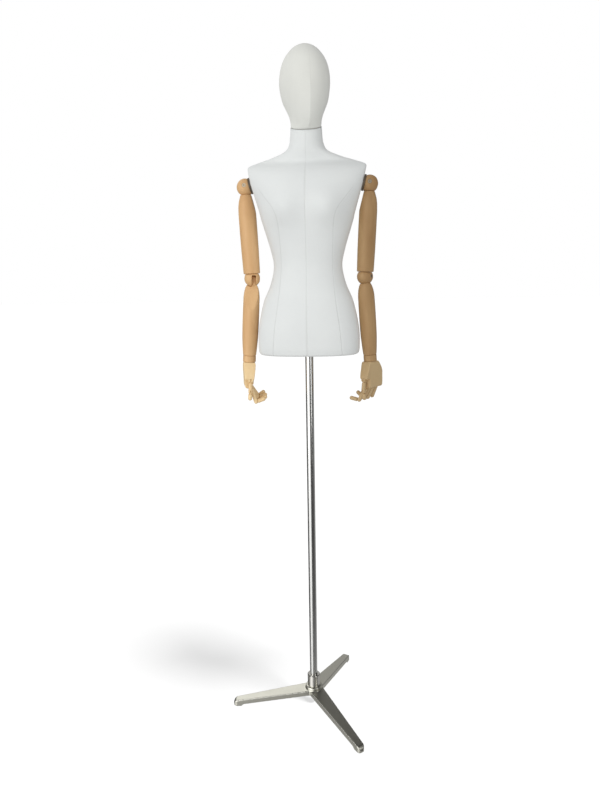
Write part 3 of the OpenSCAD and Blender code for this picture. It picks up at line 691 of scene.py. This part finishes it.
def arm(side):
    swing, elbow = joint_at(side + "_shoulder_swing"), joint_at(side + "_elbow_bend")
    lift, wrist = joint_at(side + "_arm_raise"), joint_at(side + "_wrist_turn")
    pin = Vector(JOINTS[side + "_arm_raise"]["axis"])
    fold = Vector(JOINTS[side + "_elbow_bend"]["axis"])
    upper = limb_frame(lift, elbow, pin)
    lower = limb_frame(elbow, wrist, fold)
    ball = upper.copy()
    ball.translation = swing
    sanded(side + "_shoulder_ball", ball, 0.9, 5)
    sanded(side + "_upper_arm", upper, 1.3, 6)
    sanded(side + "_elbow_ball", limb_frame(elbow, wrist, pin), 0.9, 5)
    sanded(side + "_forearm", lower, 1.3, 6)
    sanded(side + "_wrist_ring", lower, 0.9, 3)
    thumb = joint_at(side + "_thumb_knuckle") - wrist
    sanded(side + "_palm", limb_frame(wrist, wrist * 2 - elbow, thumb), 0.9, 14)
    for digit in DIGITS:
        stem = f"{side}_{digit}"
        knuckle, middle = joint_at(stem + "_knuckle"), joint_at(stem + "_middle_joint")
        across = Vector(JOINTS[stem + "_knuckle"]["axis"])
        sanded(stem + "_base", limb_frame(knuckle, middle, across), 0.6, 6)
        sanded(stem + "_tip", limb_frame(middle, centre_of(stem + "_tip"), across), 0.6, 6)


# ---------------------------------------------------------------- base

def cast_base():
    mesh = welded_copy("tripod_base")
    result = rounded(mesh, 1.3 * MM, 9)
    obj = new_object("cast_base", result, "stand", "base_metal")
    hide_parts("tripod_base")


# ---------------------------------------------------------------- stage, light and camera

FILL_DARK, FILL_BRIGHT = 0.18, 1.04


class Sky:
    """Brightness as a function of direction, for the world and for what shiny metal sees."""

    def __init__(self, tree, way):
        self.tree, self.way = tree, way

    def lobe(self, direction, low, high, start, end):
        """Brightness that rises from low to high as the view turns towards a direction."""
        dot = self.tree.nodes.new("ShaderNodeVectorMath")
        dot.operation = "DOT_PRODUCT"
        self.tree.links.new(self.way, dot.inputs[0])
        dot.inputs[1].default_value = Vector(direction).normalized()
        ramp = self.tree.nodes.new("ShaderNodeMapRange")
        ramp.interpolation_type = "SMOOTHSTEP"
        self.tree.links.new(dot.outputs["Value"], ramp.inputs["Value"])
        for key, value in (("From Min", start), ("From Max", end), ("To Min", low),
                           ("To Max", high)):
            ramp.inputs[key].default_value = value
        return ramp.outputs["Result"]

    def add(self, *parts):
        total = parts[0]
        for part in parts[1:]:
            n = self.tree.nodes.new("ShaderNodeMath")
            n.operation = "ADD"
            self.tree.links.new(total, n.inputs[0])
            self.tree.links.new(part, n.inputs[1])
            total = n.outputs[0]
        return total

    def fill(self):
        """Soft daylight from the front left, for everything that isn't shiny."""
        return self.lobe((-0.72, -0.62, 0.22), FILL_DARK, FILL_BRIGHT, -0.75, 0.95)

    def studio(self):
        """A wide soft box on the left, dark walls, pale patches behind and the pale floor."""
        return self.add(self.lobe((-0.66, -0.75, 0.0), 0.07, 1.6, 0.68, 0.82),
                        self.lobe((-0.45, 0.66, 0.60), 0.0, 1.45, 0.89, 0.985),
                        self.lobe((0.0, 0.95, 0.30), 0.0, 0.40, 0.86, 0.99),
                        self.lobe((0.85, 0.50, -0.15), 0.0, 0.30, 0.75, 0.95),
                        self.lobe((0.0, 0.0, -1.0), 0.0, 0.38, 0.50, 0.62))

    def choose(self, flag, a, b):
        n = self.tree.nodes.new("ShaderNodeMixShader")
        self.tree.links.new(flag, n.inputs[0])
        self.tree.links.new(a, n.inputs[1])
        self.tree.links.new(b, n.inputs[2])
        return n.outputs[0]


def plain_world():
    world = bpy.data.worlds.new("studio")
    bpy.context.scene.world = world
    world.use_nodes = True
    tree = world.node_tree
    tree.nodes.clear()
    path = tree.nodes.new("ShaderNodeLightPath").outputs
    sky = Sky(tree, tree.nodes.new("ShaderNodeTexCoord").outputs["Generated"])

    def light(strength):
        n = tree.nodes.new("ShaderNodeBackground")
        n.inputs["Color"].default_value = rgb(1, 1, 1)
        if isinstance(strength, float):
            n.inputs["Strength"].default_value = strength
        else:
            tree.links.new(strength, n.inputs["Strength"])
        return n.outputs[0]

    lit = sky.choose(path["Is Glossy Ray"], light(sky.fill()), light(sky.studio()))
    out = tree.nodes.new("ShaderNodeOutputWorld")
    tree.links.new(sky.choose(path["Is Camera Ray"], lit, light(1.0)), out.inputs["Surface"])


def area_light(name, place, target, size, power):
    data = bpy.data.lights.new(name, "AREA")
    data.shape = "RECTANGLE"
    data.size, data.size_y = size
    data.energy = power
    lamp = bpy.data.objects.new(name, data)
    bpy.context.scene.collection.objects.link(lamp)
    lamp.location = place
    lamp.rotation_euler = (Vector(target) - Vector(place)).to_track_quat("-Z", "Y").to_euler()
    return lamp


def linked(name, objects, state):
    """Collection that tells a lamp to use only these objects, or all but these."""
    group = bpy.data.collections.new(name)
    for i, obj in enumerate(objects):
        group.objects.link(obj)
        group.collection_objects[i].light_linking.link_state = state
    return group


def link_light(lamp, objects, state):
    """The lamp lights only these objects, or all but these."""
    lamp.light_linking.receiver_collection = linked(lamp.name + "_linked", objects, state)


# pieces close to the floor, which leave no shadow of their own beside them
LOW_PARTS = ("cast_base", "foot_pads", "base_collar", "collar_set_screw")


def stage():
    mesh = bpy.data.meshes.new("floor")
    reach = 40.0
    mesh.from_pydata([(-reach, -reach, 0), (reach, -reach, 0), (reach, reach, 0), (-reach, reach, 0)],
                     [], [(0, 1, 2, 3)])
    floor = bpy.data.objects.new("floor", mesh)
    bpy.context.scene.collection.objects.link(floor)
    s = Shader("floor")
    path = s.node("ShaderNodeLightPath").outputs
    away = s.node("ShaderNodeVectorMath", {0: s.node("ShaderNodeNewGeometry").outputs["Incoming"]},
                  operation="SCALE")
    away.inputs["Scale"].default_value = -1.0
    studio = Sky(s.tree, away.outputs[0])

    def glow(strength):
        return s.node("ShaderNodeEmission", {"Strength": strength}).outputs[0]

    # the camera sees an even white floor with the lamp's soft shadow in it, the form gets an
    # even bounce, and shiny metal sees the studio walls down to the floor
    shadow = s.node("ShaderNodeBsdfDiffuse", {"Color": rgb(0.1, 0.1, 0.1)}).outputs[0]
    seen = s.node("ShaderNodeAddShader", {0: glow(0.66), 1: shadow}).outputs[0]
    bounce = studio.choose(path["Is Glossy Ray"], glow(0.52), glow(studio.studio()))
    s.tree.links.new(studio.choose(path["Is Camera Ray"], bounce, seen),
                     s.tree.nodes["Material Output"].inputs["Surface"])
    mesh.materials.append(s.mat)
    # a wide lamp that lights only the floor leaves the form's soft shadow behind it
    sun = bpy.data.lights.new("shadow_lamp", "SUN")
    sun.angle = math.radians(11)
    sun.energy = 11.0
    lamp = bpy.data.objects.new("shadow_lamp", sun)
    bpy.context.scene.collection.objects.link(lamp)
    lamp.rotation_euler = Vector((-0.45, 0.24, -1.5)).to_track_quat("-Z", "Y").to_euler()
    link_light(lamp, [floor], "INCLUDE")
    low = [o for o in bpy.context.scene.objects if o.name.startswith(LOW_PARTS)]
    lamp.light_linking.blocker_collection = linked("casts_no_shadow", low, "EXCLUDE")
    return floor


SENSOR = 36.0
FOCAL = 605 / 800         # focal length as a part of the picture's longer side
ROLL = -0.99              # the camera leans a little to one side, in degrees


def camera():
    data = bpy.data.cameras.new("camera")
    data.sensor_width = SENSOR
    data.lens = FOCAL * SENSOR
    data.clip_end = 200
    obj = bpy.data.objects.new("camera", data)
    bpy.context.scene.collection.objects.link(obj)
    tilt = math.radians(11.2)
    flat = Vector((-0.087, 0.996, 0)).normalized()
    look = flat * math.cos(tilt) + Vector((0, 0, -math.sin(tilt)))
    turn = look.to_track_quat("-Z", "Y").to_matrix().to_4x4()
    obj.matrix_world = (Matrix.Translation((0.131, -1.856, 1.44)) @ turn
                        @ Matrix.Rotation(math.radians(ROLL), 4, "Z"))
    bpy.context.scene.camera = obj


# ---------------------------------------------------------------- the whole part

REBUILT = ("torso_shell", "head_shell", "tripod_base")
REBUILT_SLOTS = ("arm_wood", "hand_wood")


def look_of(node):
    """Material of a node that keeps its frame mesh, or None for one that is rebuilt."""
    # the shoulder discs get the dark wood with painted shade
    if node == "shoulder_discs":
        return SHADED_DISC_WOOD
    if node.endswith(("shoulder_bolt", "elbow_bolt")):
        return ARM_BOLT
    if node in REBUILT or SLOT_OF[node] in REBUILT_SLOTS:
        return None
    return MATERIALS[SLOT_OF[node]]


for node, kept in frame["nodes"].items():
    look = look_of(node)
    if look:
        kept.data.materials.clear()
        kept.data.materials.append(look)

torso_cover()
head_cover()
for side in ("right", "left"):
    arm(side)
cast_base()
plain_world()
floor = stage()
far_arm = [o for o in bpy.context.scene.objects if o.name.startswith("left_")]
softbox = area_light("softbox", (-1.35, -1.75, 1.45), (0, 0, 1.3), (0.55, 2.6), 16.0)
sidelight = area_light("sidelight", (1.55, -1.35, 1.6), (0, 0, 1.6), (0.7, 2.2), 11.0)
for lamp in (softbox, sidelight):
    link_light(lamp, [floor, *far_arm], "EXCLUDE")
camera()

scene = bpy.context.scene
scene.view_settings.view_transform = "Standard"
scene.view_settings.look = "None"
